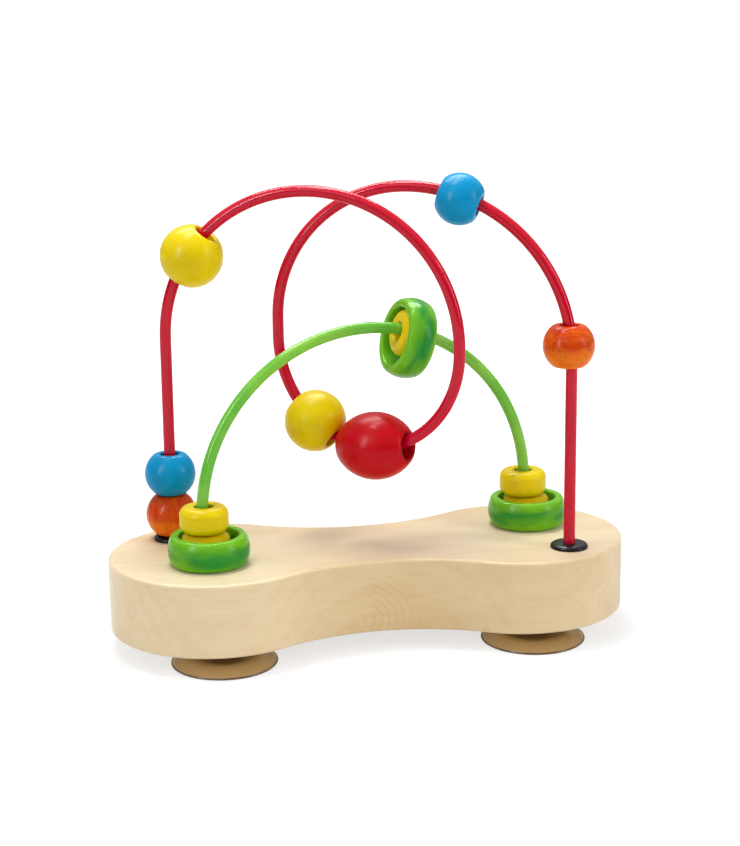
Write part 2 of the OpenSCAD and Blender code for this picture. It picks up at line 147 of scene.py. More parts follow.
class BeadSizes(bpy.types.PropertyGroup):
    """Sizes of the turned beads and rings."""
    small_diameter: length("Small diameter", 0.0245, "Diameter of the orange and blue beads")
    small_length: length("Small length", 0.020, "Length of the orange and blue beads")
    small_face: length("Small face", 0.014, "Diameter of a small bead's flat end")
    small_bore: length("Small bore", 0.009, "Bore of a small bead")
    large_diameter: length("Large diameter", 0.030, "Diameter of the large yellow beads")
    large_length: length("Large length", 0.026, "Length of the large yellow beads")
    large_face: length("Large face", 0.0145, "Diameter of a large bead's flat end")
    large_bore: length("Large bore", 0.010, "Bore of a large bead")
    oval_diameter: length("Oval diameter", 0.0325, "Diameter of the red bead")
    oval_length: length("Oval length", 0.036, "Length of the red bead")
    oval_face: length("Oval face", 0.015, "Diameter of the red bead's flat end")
    oval_bore: length("Oval bore", 0.012, "Bore of the red bead")
    squat_diameter: length("Squat diameter", 0.023, "Diameter of the squat yellow beads")
    squat_length: length("Squat length", 0.0125, "Length of the squat yellow beads")
    squat_round: length("Squat round", 0.004, "Rounding of a squat bead's outer edges")
    squat_bore: length("Squat bore", 0.009, "Bore of a squat bead")
    ring_diameter: length("Ring diameter", 0.0385, "Diameter of the green rings")
    ring_length: length("Ring length", 0.014, "Length of the green rings")
    ring_lip: length("Ring lip", 0.0034, "Width of a ring's flat end")
    ring_bore: length("Ring bore", 0.028, "Bore of a ring")
    mouth_round: length("Mouth round", 0.0011, "Rounding of a bore's mouth")
    shoulder_round: length("Shoulder round", 0.0013, "Rounding between a bead's side and end")
    sides: IntProperty(name="Sides", description="Faces round a bead", default=96, min=24, max=192)


class MazeColours(bpy.types.PropertyGroup):
    """Colours of the finishes."""
    wood_pale: tint("Pale wood", (242, 220, 178), "Early wood of the board")
    # Dark wood also paints the shade in the waist's front hollow
    wood_dark: tint("Dark wood", (216, 182, 128), "Late wood and fibres of the board")
    wood_fleck: tint("Wood fleck", (186, 146, 98), "Flecks and swirl in the board")
    # The cups' two ambers paint the neck darker as painted shade under the board and the thin flare paler as
    # painted light through it, besides the plastic's own depth
    amber: tint("Amber", (184, 143, 76), "Soft plastic at the necks of the cups")
    amber_thin_and_lit: tint("Thin amber", (198, 165, 112), "Soft plastic where a cup is thin")
    amber_rim: tint("Amber rim", (132, 98, 52), "Soft plastic along a cup's rim")
    steel: tint("Steel", (196, 197, 200), "Nuts, washers, screws and cores")
    steel_dull: tint("Dull steel", (150, 150, 154), "Steel where its plating is dull")
    black: tint("Black", (14, 8, 15), "Moulded collars")
    black_worn: tint("Worn black", (30, 22, 29), "Collars where they are worn")
    red_coating: tint("Red coating", (202, 0, 36), "Coating of the looped wire")
    red_cloud: tint("Red cloud", (210, 0, 46), "Clouds in the red coating")
    green_coating: tint("Green coating", (106, 192, 58), "Coating of the arched wire")
    green_cloud: tint("Green cloud", (134, 204, 64), "Clouds in the green coating")
    # Pale orange also paints the lower half of the orange beads, as a painted reflection of the white floor
    orange_pale: tint("Pale orange", (244, 128, 18), "Stained beads where the stain is thin")
    orange_dark: tint("Dark orange", (204, 54, 4), "Stained beads where the stain is thick")
    orange_pore: tint("Orange pore", (150, 36, 10), "Pores of the stained beads")
    blue: tint("Blue", (0, 150, 204), "Blue beads")
    blue_thin: tint("Thin blue", (0, 140, 192), "Blue beads where the lacquer is thin")
    yellow: tint("Yellow", (234, 208, 0), "Yellow beads")
    yellow_thin: tint("Thin yellow", (226, 195, 0), "Yellow beads where the lacquer is thin")
    red: tint("Red", (192, 0, 14), "Red bead")
    red_thin: tint("Thin red", (203, 0, 21), "Red bead where the lacquer is thin")
    lime: tint("Lime", (116, 190, 30), "Green rings where the colour is thin")
    # Emerald also paints the dark band round the rings' middle, partly as a painted reflection of the dim
    # surroundings
    emerald: tint("Emerald", (22, 142, 48), "Green rings where the colour is thick")


class Nodes:
    """A node tree, with short calls that add and link its nodes."""

    def __init__(self, tree):
        self.tree = tree
        tree.nodes.clear()

    def add(self, kind, inputs=None, **settings):
        """Adds a node; an input is a number, a colour or the socket that feeds it."""
        node = self.tree.nodes.new(kind)
        for name, value in settings.items():
            setattr(node, name, value)
        for key, value in (inputs or {}).items():
            self.feed(node.inputs[key], value)
        return node

    def feed(self, socket, value):
        """Links a socket or sets its value."""
        if isinstance(value, bpy.types.NodeSocket):
            self.tree.links.new(value, socket)
        elif socket.type == "RGBA" and len(value) == 3:
            socket.default_value = (*value, 1)
        else:
            socket.default_value = value

    def span(self, value, low, high, to_low=0.0, to_high=1.0):
        """Maps a range of values to another, smoothly and held at its ends."""
        inputs = {0: value, 1: low, 2: high, 3: to_low, 4: to_high}
        return self.add("ShaderNodeMapRange", inputs, interpolation_type="SMOOTHSTEP").outputs[0]

    def math(self, operation, first, second=0.0):
        """One sum on numbers."""
        return self.add("ShaderNodeMath", {0: first, 1: second}, operation=operation).outputs[0]

    def times(self, first, second):
        """Product of two values."""
        return self.math("MULTIPLY", first, second)

    def total(self, *values):
        """Sum of several values."""
        result = values[0]
        for value in values[1:]:
            result = self.math("ADD", result, value)
        return result

    def reach(self, vector):
        """Length of a vector."""
        return self.add("ShaderNodeVectorMath", {0: vector}, operation="LENGTH").outputs["Value"]


class Finish(Nodes):
    """A material's node tree with a coat of a weight and roughness, and calls for its patterns."""

    def __init__(self, name, coat=(0.0, 0.03), specular=0.5, **more):
        self.material = bpy.data.materials.new(name)
        self.material.use_nodes = True
        super().__init__(self.material.node_tree)
        self.shader = self.add("ShaderNodeBsdfPrincipled", {
            "Coat Weight": coat[0], "Coat Roughness": coat[1], "Specular IOR Level": specular, **more})
        self.add("ShaderNodeOutputMaterial", {"Surface": self.shader.outputs[0]})

    def place(self):
        """Place on the piece, in the object's frame."""
        return self.add("ShaderNodeTexCoord").outputs["Object"]

    def kept_place(self, name):
        """Place that a turned piece keeps on its points: along its bore, or along the fibres of its wood."""
        return self.add("ShaderNodeAttribute", attribute_name=name).outputs["Vector"]

    def wandering_height(self, noise, swing):
        """Height along a turned piece's bore, pushed up and down by a noise."""
        height = self.add("ShaderNodeSeparateXYZ", {0: self.kept_place("turned_place")}).outputs[2]
        return self.total(height, self.times(self.math("SUBTRACT", noise, 0.5), swing))

    def stretch(self, vector, scale, shift=(0, 0, 0)):
        """Scales and shifts the place that a pattern reads."""
        return self.add("ShaderNodeMapping", {0: vector, "Location": shift, "Scale": scale}).outputs[0]

    def distance(self, vector, point):
        """Distance from a point."""
        return self.add("ShaderNodeVectorMath", {0: vector, 1: point}, operation="DISTANCE").outputs["Value"]

    def noise(self, vector, scale, detail=3, rough=0.5):
        """Noise from 0 to 1, with one scale or with one for each axis."""
        if isinstance(scale, tuple):
            vector, scale = self.stretch(vector, scale), 1
        inputs = {"Vector": vector, "Scale": scale, "Detail": detail, "Roughness": rough}
        return self.add("ShaderNodeTexNoise", inputs).outputs[0]

    def rings(self, vector, axis, scale, distortion, detail, detail_scale):
        """Growth rings round an axis, from 0 to 1."""
        inputs = {"Vector": vector, "Scale": scale, "Distortion": distortion, "Detail": detail,
                  "Detail Scale": detail_scale}
        return self.add("ShaderNodeTexWave", inputs, wave_type="RINGS", rings_direction=axis).outputs[1]

    def mix(self, share, first, second, blend="MIX"):
        """Mixes two colours."""
        inputs = {0: share, 6: first, 7: second}
        return self.add("ShaderNodeMix", inputs, data_type="RGBA", blend_type=blend).outputs[2]

    def shade(self, colour, value, low, high):
        """Brightens or darkens a colour by a value from 0 to 1."""
        level = self.span(value, 0, 1, low, high)
        grey = self.add("ShaderNodeCombineColor", {0: level, 1: level, 2: level}).outputs[0]
        return self.mix(1.0, colour, grey, "MULTIPLY")

    def bump(self, height, distance, strength):
        """Raises the surface by a height from 0 to 1 times a distance."""
        inputs = {"Height": height, "Distance": distance, "Strength": strength}
        return self.add("ShaderNodeBump", inputs).outputs[0]

    def done(self, colour, roughness, normal):
        """Feeds the shader and hands the material over."""
        for name, value in (("Base Color", colour), ("Roughness", roughness), ("Normal", normal)):
            self.feed(self.shader.inputs[name], value)
        return self.material


def board_wood(colours):
    """Pale planed wood: soft strips and fibres along the board, faint growth rings and a swirl in its waist, with
    painted shade darkening the waist's front hollow round the swirl.
    """
    sheen = {"Sheen Weight": 0.6, "Sheen Roughness": 0.4}
    look = Finish("board_wood", coat=(0.1, 0.3), specular=0.4, **sheen)
    place = look.place()
    from_pith = look.stretch(place, (1, 1, 1), shift=(0, -0.062, 0.018))
    from_swirl = look.stretch(place, (0.72, 1, 1), shift=(0.012, 0, -0.016))
    to_swirl = look.distance(place, (0.002, -0.031, 0.022))
    to_heart = look.distance(look.stretch(place, (0.3, 1, 1)), (-0.001, 0.021, 0.044))
    rings = look.rings(from_pith, "X", scale=56, distortion=2.2, detail=2, detail_scale=0.3)
    swirl = look.rings(from_swirl, "Y", scale=120, distortion=5.5, detail=3, detail_scale=0.5)
    fibre = look.noise(place, (11, 420, 420), detail=4, rough=0.6)
    mottle = look.noise(place, (38, 60, 60))
    strip = look.noise(place, (2.2, 26, 14), detail=2)
    fleck = look.span(look.noise(place, (150, 1150, 1150), detail=1), 0.63, 0.76)
    # The darkening that fades out from the swirl across the waist's front is painted shade in the hollow; the
    # rings, fibres, strips, mottle and heart are the wood's own tone
    dark = look.total(look.span(rings, 0.4, 0.98, 0, 0.06), look.span(fibre, 0.3, 0.75, 0, 0.16),
                      look.span(strip, 0.42, 0.68, 0, 0.42), look.span(mottle, 0.35, 0.7, 0, 0.12),
                      look.span(to_swirl, 0.012, 0.07, 0.34, 0), look.span(to_heart, 0.003, 0.014, 0.36, 0))
    swirl = look.times(look.span(swirl, 0.6, 0.97), look.span(to_swirl, 0.005, 0.022, 0.15, 0))
    colour = look.mix(dark, colours.wood_pale, colours.wood_dark)
    colour = look.mix(look.total(swirl, look.times(fleck, 0.14)), colour, colours.wood_fleck)
    grain = look.total(look.times(fibre, 0.7), look.times(fleck, -0.4))
    return look.done(colour, look.span(fibre, 0.2, 0.8, 0.42, 0.56), look.bump(grain, 0.00018, 0.4))


def lacquer(name, thick, thin, gloss):
    """Opaque lacquer on turned wood: clouded colour, a trace of grain and faint tool rings below a clear coat."""
    look = Finish(name, coat=(gloss, 0.22), specular=0.06)
    place = look.kept_place("fibre_place")
    cloud = look.noise(place, 75)
    brush = look.noise(place, (260, 260, 900), rough=0.6)
    grain = look.noise(place, (900, 900, 70), rough=0.6)
    colour = look.mix(look.span(cloud, 0.35, 0.68), thick, thin)
    colour = look.shade(colour, brush, 0.98, 1.015)
    height = look.total(look.times(grain, 0.6), look.times(brush, 0.4))
    return look.done(colour, look.span(brush, 0.25, 0.75, 0.3, 0.42), look.bump(height, 0.00014, 0.2))


def orange_stain(colours):
    """Clear stain that shows the wood: streaks along its fibres, dark pores, and a lower half painted paler as a
    painted reflection of the floor.
    """
    look = Finish("orange_stain", coat=(0.13, 0.12), specular=0.06)
    place = look.kept_place("fibre_place")
    streak = look.noise(place, (420, 420, 34), detail=4, rough=0.62)
    cloud = look.noise(place, (60, 60, 110))
    pores = look.span(look.noise(place, (1500, 1500, 170), detail=2), 0.6, 0.72)
    # Painted reflection: below the bead's middle the thin share is raised, so the lower half is painted paler,
    # standing for the white floor mirrored in its gloss; the streaks and clouds are the stain's own thin places
    half = look.span(look.wandering_height(cloud, 0.012), -0.003, 0.001, 0.6, 0)
    thin = look.total(look.span(streak, 0.35, 0.7, 0, 0.3), look.span(cloud, 0.45, 0.68, 0, 0.25), half)
    colour = look.mix(thin, colours.orange_dark, colours.orange_pale)
    colour = look.mix(look.times(pores, 0.5), colour, colours.orange_pore)
    height = look.total(look.times(streak, 0.6), look.times(pores, -0.4))
    return look.done(colour, look.span(streak, 0.2, 0.8, 0.2, 0.36), look.bump(height, 0.0002, 0.4))


def green_stain(colours):
    """Brushed green, darker round the middle of a ring and paler at its lips: partly thick and thin colour, partly
    a painted reflection of the dim surroundings in the middle band.
    """
    look = Finish("green_stain", coat=(0.16, 0.2), specular=0.1)
    place = look.kept_place("fibre_place")
    sweep = look.noise(place, (45, 45, 120), detail=2)
    brush = look.noise(place, (150, 150, 800), rough=0.6)
    from_middle = look.math("ABSOLUTE", look.wandering_height(sweep, 0.008))
    # Painted reflection: the dark band round a ring's middle is partly colour and partly stands for the dim
    # surroundings mirrored in it
    paint_and_reflection_band = look.span(from_middle, 0.0016, 0.0066, 1, 0)
    patch = look.span(sweep, 0.36, 0.6, 0.35, 0.95)
    colour = look.mix(look.times(paint_and_reflection_band, patch), colours.lime, colours.emerald)
    colour = look.shade(colour, brush, 0.94, 1.04)
    return look.done(colour, look.span(brush, 0.25, 0.75, 0.2, 0.34), look.bump(brush, 0.00016, 0.35))


def wire_coating(name, colour, clouded, gloss):
    """Dipped plastic coating: glossy, a little cloudy, with slow swells along the wire."""
    look = Finish(name, coat=(gloss, 0.04), specular=0.0)
    place = look.place()
    cloud = look.noise(place, 42)
    swell = look.noise(place, 210, detail=2)
    speck = look.noise(place, 2600, detail=2)
    tone = look.mix(look.span(cloud, 0.36, 0.66), colour, clouded)
    tone = look.shade(tone, speck, 0.96, 1.04)
    height = look.total(swell, look.times(speck, 0.12))
    return look.done(tone, look.span(speck, 0.3, 0.7, 0.2, 0.3), look.bump(height, 0.00012, 0.3))


def moulded_black(colours):
    """Moulded black plastic with a fine grain and worn patches."""
    look = Finish("moulded_black", coat=(0.2, 0.08), specular=0.12)
    place = look.place()
    grain = look.noise(place, 3200, rough=0.6)
    wear = look.noise(place, 260)
    colour = look.mix(look.span(wear, 0.4, 0.7, 0, 0.5), colours.black, colours.black_worn)
    return look.done(colour, look.span(wear, 0.3, 0.7, 0.26, 0.42), look.bump(grain, 0.00006, 0.3))


def amber_plastic(colours):
    """See-through amber plastic: darker towards the neck and paler where it is thin, partly from its thickness and
    partly as painted shade under the board and painted light through the thin flare; dark along the rim, a little
    cloudy.
    """
    clear = {"Transmission Weight": 0.85, "IOR": 1.42}
    look = Finish("amber_plastic", coat=(0.6, 0.06), specular=0.7, **clear)
    place = look.place()
    cloud = look.noise(place, 120)
    fine = look.noise(place, 1400, detail=2)
    reach = look.reach(look.stretch(look.kept_place("turned_place"), (1, 1, 0)))
    # Painted light and shade: paler towards the rim as light through the thin flare, darker towards the neck as
    # shade under the board, on top of the plastic's own depth
    thin = look.total(look.span(reach, 0.011, 0.0235, 0, 0.9), look.span(cloud, 0.35, 0.7, 0, 0.1))
    colour = look.mix(thin, colours.amber, colours.amber_thin_and_lit)
    colour = look.mix(look.span(reach, 0.0242, 0.0247), colour, colours.amber_rim)
    colour = look.shade(colour, fine, 0.98, 1.02)
    return look.done(colour, look.span(cloud, 0.3, 0.7, 0.14, 0.22), look.bump(fine, 0.00006, 0.1))


def zinc_steel(colours):
    """Zinc-plated steel with drawn scratches and dull spots."""
    look = Finish("zinc_steel", Metallic=1.0)
    place = look.place()
    dull = look.noise(place, 420)
    scratch = look.noise(place, (300, 300, 5200), detail=2)
    colour = look.mix(look.span(dull, 0.4, 0.7, 0, 0.6), colours.steel, colours.steel_dull)
    return look.done(colour, look.span(dull, 0.3, 0.7, 0.24, 0.46), look.bump(scratch, 0.00008, 0.3))


def middle(node):
    """Middle of a solid's box."""
    low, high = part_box(node)
    return (low + high) / 2


def joint_place(body):
    """A point on a body's joint axis."""
    return Vector(JOINTS[body]["pos_m"])


def joint_axis(body):
    """Direction of a body's joint axis."""
    return Vector(JOINTS[body]["axis"]).normalized()


def arc(centre, radius, start, end, steps):
    """Points on an arc in the plane, with both ends."""
    angles = [start + (end - start) * step / steps for step in range(steps + 1)]
    return [(centre[0] + radius * cos(angle), centre[1] + radius * sin(angle)) for angle in angles]


def height_of(node):
    """Height of a solid's box."""
    low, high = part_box(node)
    return high.z - low.z


def spots(nodes, level):
    """Places at one level, under the middles of several solids."""
    return [(middle(node).x, middle(node).y, level) for node in nodes]


def turns_of(sides):
    """Angles of points spread evenly round a circle."""
    return [tau * side / sides for side in range(sides)]


def soft_corner(before, corner, after, steps=6):
    """Points of a rounded corner that leaves one line and meets the next."""
    points = []
    for step in range(steps + 1):
        share = step / steps
        weights = ((1 - share) ** 2, 2 * share * (1 - share), share ** 2)
        points.append(tuple(sum(weight * value for weight, value in zip(weights, values))
                            for values in zip(before, corner, after)))
    return points


def new_object(name, data):
    """An object in the scene, at the origin."""
    item = bpy.data.objects.new(name, data)
    bpy.context.scene.collection.objects.link(item)
    return item


def new_piece(name, mesh, material):
    """An object that shows a mesh in one finish."""
    mesh.materials.clear()
    mesh.materials.append(material)
    return new_object(name, mesh)


def plain_mesh(name, points, edges=(), faces=()):
    """A mesh of points, edges and faces."""
    mesh = bpy.data.meshes.new(name)
    mesh.from_pydata(points, edges, faces)
    return mesh


def keep_places(mesh, name, places):
    """Keeps a place on each point of a mesh, for the finishes to read."""
    kept = mesh.attributes.new(name, "FLOAT_VECTOR", "POINT")
    kept.data.foreach_set("vector", [value for place in places for value in place])


def turned_mesh(name, profile, sides, centre=Vector((0, 0, 0)), axis=UP, fibre=Matrix()):
    """Turns a closed profile of (radius, height) about an axis, out of wood whose fibres lie as a matrix says."""
    stand_up = UP.rotation_difference(axis).to_matrix()
    rows = len(profile)
    local = [Vector((radius * cos(angle), radius * sin(angle), height))
             for angle in turns_of(sides) for radius, height in profile]
    faces = []
    for side in range(sides):
        here, there = side * rows, (side + 1) % sides * rows
        for row in range(rows):
            above = (row + 1) % rows
            faces.append((here + row, there + row, there + above, here + above))
    mesh = plain_mesh(name, [stand_up @ point + centre for point in local], faces=faces)
    keep_places(mesh, "turned_place", local)
    keep_places(mesh, "fibre_place", [fibre @ point for point in local])
    mesh.shade_smooth()
    return mesh


def bored(end, half, hole, mouth):
    """Ends a bead's upper half in the soft mouth of its bore, and adds the same half below."""
    upper = end + soft_corner((hole + mouth, half), (hole, half), (hole, half - mouth))
    return upper + [(radius, -height) for radius, height in reversed(upper)]


def bead_profile(diameter, long, face, bore, shoulder, mouth):
    """Closed profile of a round bead: bulged side, flat ends and a bore, with soft edges."""
    edge, half, flat = diameter / 2, long / 2, face / 2
    bulge = ((edge - flat) ** 2 + half ** 2) / (2 * (edge - flat))
    reach = asin(half / bulge) - shoulder / bulge
    side = arc((edge - bulge, 0), bulge, -reach, reach, steps=40)
    end = soft_corner(side[-1], (flat, half), (flat - shoulder, half))
    return side[1:-1] + bored(end, half, bore / 2, mouth)


def squat_profile(diameter, long, rounding, bore, mouth):
    """Closed profile of a squat bead: straight side, well rounded edges and a bore."""
    edge, half = diameter / 2, long / 2
    end = arc((edge - rounding, half - rounding), rounding, 0, pi / 2, steps=14)
    return bored(end, half, bore / 2, mouth)


def node_tree(name, **inputs):
    """An empty Geometry Nodes tree with a geometry in and out and named inputs, and the node that gives them."""
    tree = bpy.data.node_groups.new(name, "GeometryNodeTree")
    for label, kind in {"Geometry": "Geometry", **inputs}.items():
        tree.interface.new_socket(label, in_out="INPUT", socket_type=f"NodeSocket{kind}")
    tree.interface.new_socket("Geometry", in_out="OUTPUT", socket_type="NodeSocketGeometry")
    nodes = Nodes(tree)
    return nodes, nodes.add("NodeGroupInput")


def close_tree(nodes, geometry, material):
    """Ends a tree in Realize Instances and Set Material."""
    real = nodes.add("GeometryNodeRealizeInstances", {0: geometry})
    finish = nodes.add("GeometryNodeSetMaterial", {"Geometry": real.outputs[0], "Material": material})
    nodes.add("NodeGroupOutput", {0: finish.outputs[0]})
    return nodes.tree


def wire_tree():
    """Sweeps a round section along a line of points."""
    nodes, source = node_tree("coated_wire", Diameter="Float", Sides="Int", Material="Material")
    line = nodes.add("GeometryNodeMeshToCurve", {0: source.outputs["Geometry"]})
    radius = nodes.math("DIVIDE", source.outputs["Diameter"], 2)
    circle = {"Radius": radius, "Resolution": source.outputs["Sides"]}
    section = nodes.add("GeometryNodeCurvePrimitiveCircle", circle)
    curves = {"Curve": line.outputs[0], "Profile Curve": section.outputs[0], "Fill Caps": True}
    sweep = nodes.add("GeometryNodeCurveToMesh", curves)
    smooth = nodes.add("GeometryNodeSetShadeSmooth", {"Geometry": sweep.outputs[0]})
    return close_tree(nodes, smooth.outputs[0], source.outputs["Material"])


def repeat_tree():
    """Sets one part on each of a set of points."""
    nodes, source = node_tree("part_on_points", Part="Object", Material="Material")
    part = nodes.add("GeometryNodeObjectInfo", {"Object": source.outputs["Part"]})
    inputs = {"Points": source.outputs["Geometry"], "Instance": part.outputs["Geometry"]}
    spread = nodes.add("GeometryNodeInstanceOnPoints", inputs)
    return close_tree(nodes, spread.outputs[0], source.outputs["Material"])


def grown_piece(name, mesh, tree, values):
    """A piece with the plain mesh that a Geometry Nodes tree grows from another."""
    piece = new_object(name, mesh)
    modifier = piece.modifiers.new(tree.name, "NODES")
    modifier.node_group = tree
    keys = {item.name: item.identifier for item in tree.interface.items_tree if item.in_out == "INPUT"}
    for label, value in values.items():
        modifier[keys[label]] = value
    piece.update_tag()
    shape = piece.evaluated_get(bpy.context.evaluated_depsgraph_get())
    grown = bpy.data.meshes.new_from_object(shape)
    piece.modifiers.clear()
    piece.data = grown
    return piece


def repeated_piece(name, part_mesh, places, material):
    """One mesh that holds a part at each of several places."""
    part = bpy.data.objects.new(f"{name}_part", part_mesh)
    values = {"Part": part, "Material": material}
    piece = grown_piece(name, plain_mesh(name, places), repeat_tree(), values)
    bpy.data.objects.remove(part)
    return piece


def swept_piece(name, points, sizes, material):
    """A coated wire along a line of points."""
    line = plain_mesh(name, points, [(i, i + 1) for i in range(len(points) - 1)])
    values = {"Diameter": sizes.diameter, "Sides": sizes.sides, "Material": material}
    return grown_piece(name, line, wire_tree(), values)


def carried(piece, body, slot, *nodes):
    """Hands a piece to the body that carries it, in place of the solids it stands for."""
    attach(piece, body)
    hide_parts(*nodes)


def arch(centre, start, end, steps):
    """Points on an upright arc about a centre, from one point to another."""
    first, last = start - centre, end - centre
    across = Vector((first.x, first.y, 0)).normalized()
    low, high = (atan2(spoke.z, spoke.dot(across)) for spoke in (first, last))
    turns = [low + (high - low) * step / steps for step in range(steps + 1)]
    return [centre + first.length * (cos(turn) * across + sin(turn) * UP) for turn in turns]


def leg(foot, low, high, steps=6):
    """Points on an upright leg."""
    return [Vector((foot.x, foot.y, low + (high - low) * step / steps)) for step in range(steps + 1)]


def joined(*runs):
    """One line of points from several runs, without the doubles where they meet."""
    line = []
    for run in runs:
        for point in run:
            if not line or (point - line[-1]).length > SAME_POINT:
                line.append(point)
    return line


def raised(point, height):
    """A point moved up or down to a height."""
    return Vector((point.x, point.y, height))


def red_line():
    """Way of the looped wire: left leg, left arch, the loop's lower half, right arch and right leg."""
    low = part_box("red_wire_sleeve")[0].z
    left_foot, right_foot = middle("red_collar_left"), middle("red_collar_right")
    left, loop, shoulder = (joint_place(body) for body in ("yellow_bead_arch", "red_bead_loop", "blue_bead_arch"))
    loop_end = raised(2 * left - left_foot, loop.z)
    loop_start = raised(2 * loop - loop_end, loop.z)
    crown = shoulder + hypot(right_foot.x - shoulder.x, right_foot.y - shoulder.y) * UP
    inner = crown - hypot(loop_start.x - crown.x, loop_start.y - crown.y) * UP
    over = arch(left, raised(left_foot, left.z), raised(loop_end, left.z), steps=72)
    under = [2 * loop - point for point in arch(loop, loop_start, loop_end, steps=56)]
    rise = arch(inner, raised(loop_start, inner.z), crown, steps=36)
    fall = arch(shoulder, raised(right_foot, shoulder.z), crown, steps=40)
    return joined(leg(left_foot, low, left.z), over, under, rise, fall[::-1],
                  leg(right_foot, low, shoulder.z)[::-1])


def green_line():
    """Way of the arched wire: two short legs and a half circle."""
    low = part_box("green_wire_sleeve")[0].z
    left_foot, right_foot = middle("green_collar_left"), middle("green_collar_right")
    centre = joint_place("yellow_hub_top")
    over = arch(centre, raised(left_foot, centre.z), raised(right_foot, centre.z), steps=96)
    return joined(leg(left_foot, low, centre.z), over, leg(right_foot, low, centre.z)[::-1])


def board_outline(sizes, lobe_x, inset):
    """Outline of the board, drawn in by an inset: two round ends joined by two hollows."""
    lobe, waist = sizes.lobe_radius - inset, sizes.waist_radius + inset
    waist_y = sqrt((sizes.lobe_radius + sizes.waist_radius) ** 2 - lobe_x ** 2)
    meet = atan2(waist_y, -lobe_x)
    right = arc((lobe_x, 0), lobe, -meet, meet, steps=120)
    back = arc((0, waist_y), waist, meet - pi, -meet, steps=44)
    left, front = ([(-x, -y) for x, y in run] for run in (right, back))
    return right[:-1] + back[:-1] + left[:-1] + front[:-1]


def strips(shape, rows):
    """Joins rings of points, each to the next, with strips of faces."""
    count = len(rows[0])
    for below, above in zip(rows, rows[1:]):
        for i in range(count):
            j = (i + 1) % count
            shape.faces.new((below[i], below[j], above[j], above[i]))


def ring_edges(shape, ring):
    """Edges of a ring of points."""
    return [shape.edges.get(pair) for pair in zip(ring, ring[1:] + ring[:1])]


def finished_mesh(name, shape, sharp):
    """Turns a shape into a mesh that is smooth but for edges above an angle in degrees."""
    bmesh.ops.recalc_face_normals(shape, faces=shape.faces)
    mesh = bpy.data.meshes.new(name)
    shape.to_mesh(mesh)
    shape.free()
    mesh.shade_smooth()
    mesh.set_sharp_from_angle(angle=radians(sharp))
    return mesh


def board_mesh(sizes):
    """The board as rings of its outline, rounded above and below, with pockets in its underside."""
    low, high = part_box("base")
    lobe_x = high.x - sizes.lobe_radius
    edge, edge_steps = sizes.edge_round, 8
    turns = [pi / 2 * step / edge_steps for step in range(edge_steps + 1)]
    lower = [(edge * (1 - sin(turn)), low.z + edge * (1 - cos(turn))) for turn in turns]
    upper = [(inset, low.z + high.z - z) for inset, z in reversed(lower)]
    # A ring just inside the rounding keeps the flat faces evenly shaded
    inside = edge * 1.3
    rows = [(inside, low.z)] + lower + upper + [(inside, high.z)]
    shape = bmesh.new()
    loops = [[shape.verts.new((x, y, z)) for x, y in board_outline(sizes, lobe_x, inset)] for inset, z in rows]
    strips(shape, loops)
    shape.faces.new(loops[-1])
    edges = ring_edges(shape, loops[0])
    pocket_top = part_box("wire_washers")[1].z
    for collar in COLLARS:
        foot = middle(collar)
        ring = arc((foot.x, foot.y), sizes.pocket_diameter / 2, 0, tau, steps=POCKET_SIDES)[:-1]
        mouth, ceiling = ([shape.verts.new((x, y, z)) for x, y in ring] for z in (low.z, pocket_top))
        strips(shape, [ceiling, mouth])
        shape.faces.new(ceiling[::-1])
        edges += ring_edges(shape, mouth)
    bmesh.ops.triangle_fill(shape, edges=edges, use_beauty=True, normal=(0, 0, -1))
    return finished_mesh("wooden_board", shape, sharp=40)


def cup_profile(sizes):
    """Closed profile of a suction cup: neck, hollow flare, thin rim and a shallow hollow below."""
    foot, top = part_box(CUPS[0])[0].z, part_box("base")[0].z
    rim, neck, hole = sizes.cup_diameter / 2, sizes.cup_neck / 2, sizes.screw_diameter / 2
    lip, hollow = sizes.cup_lip, sizes.cup_hollow
    rim_side, flare_foot, flare_top = (rim, lip * 0.55), (rim - lip * 0.3, lip), (neck, top - lip * 0.5)
    edge = soft_corner((rim - lip, foot), (rim, foot), rim_side, steps=5)[:-1]
    edge += soft_corner(rim_side, (rim, lip * 0.95), flare_foot, steps=4)
    flare = soft_corner(flare_foot, (rim * 0.56, top * 0.42), flare_top, steps=22)
    bead = soft_corner(flare_top, (neck, top), (neck - lip * 0.6, top), steps=5)
    inner = soft_corner((hole, hollow), (rim * 0.62, hollow), (rim - lip * 1.6, foot), steps=20)
    return edge[:-1] + flare[:-1] + bead + [(hole, top)] + inner


def collar_profile(sizes):
    """Closed profile of a domed collar that grips the wire."""
    rim, flat, hole = sizes.collar_diameter / 2, sizes.collar_flat / 2, sizes.diameter / 2
    tall = height_of(COLLARS[0])
    crown_edge, mouth_edge = (flat, tall * 0.97), (hole + tall * 0.2, tall)
    dome = soft_corner((rim, tall * 0.28), (rim * 0.99, tall * 0.86), crown_edge, steps=12)
    crown = soft_corner(crown_edge, (flat * 0.8, tall), mouth_edge, steps=6)
    mouth = soft_corner(mouth_edge, (hole, tall), (hole, tall * 0.85), steps=4)
    return [(rim * 0.985, 0), (rim, tall * 0.06)] + dome + crown[1:] + mouth[1:] + [(hole, 0)]


def washer_mesh(name, node, seats, hole):
    """A flat washer with eased edges, as wide and thick as the solids it stands for."""
    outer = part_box(node)[1].x - max(middle(seat).x for seat in seats)
    thick = height_of(node)
    ease = thick * 0.2
    profile = [(outer - ease, 0), (outer, ease), (outer, thick - ease), (outer - ease, thick),
               (hole + ease, thick), (hole, thick - ease), (hole, ease), (hole + ease, 0)]
    return turned_mesh(name, profile, FASTENER_SIDES)


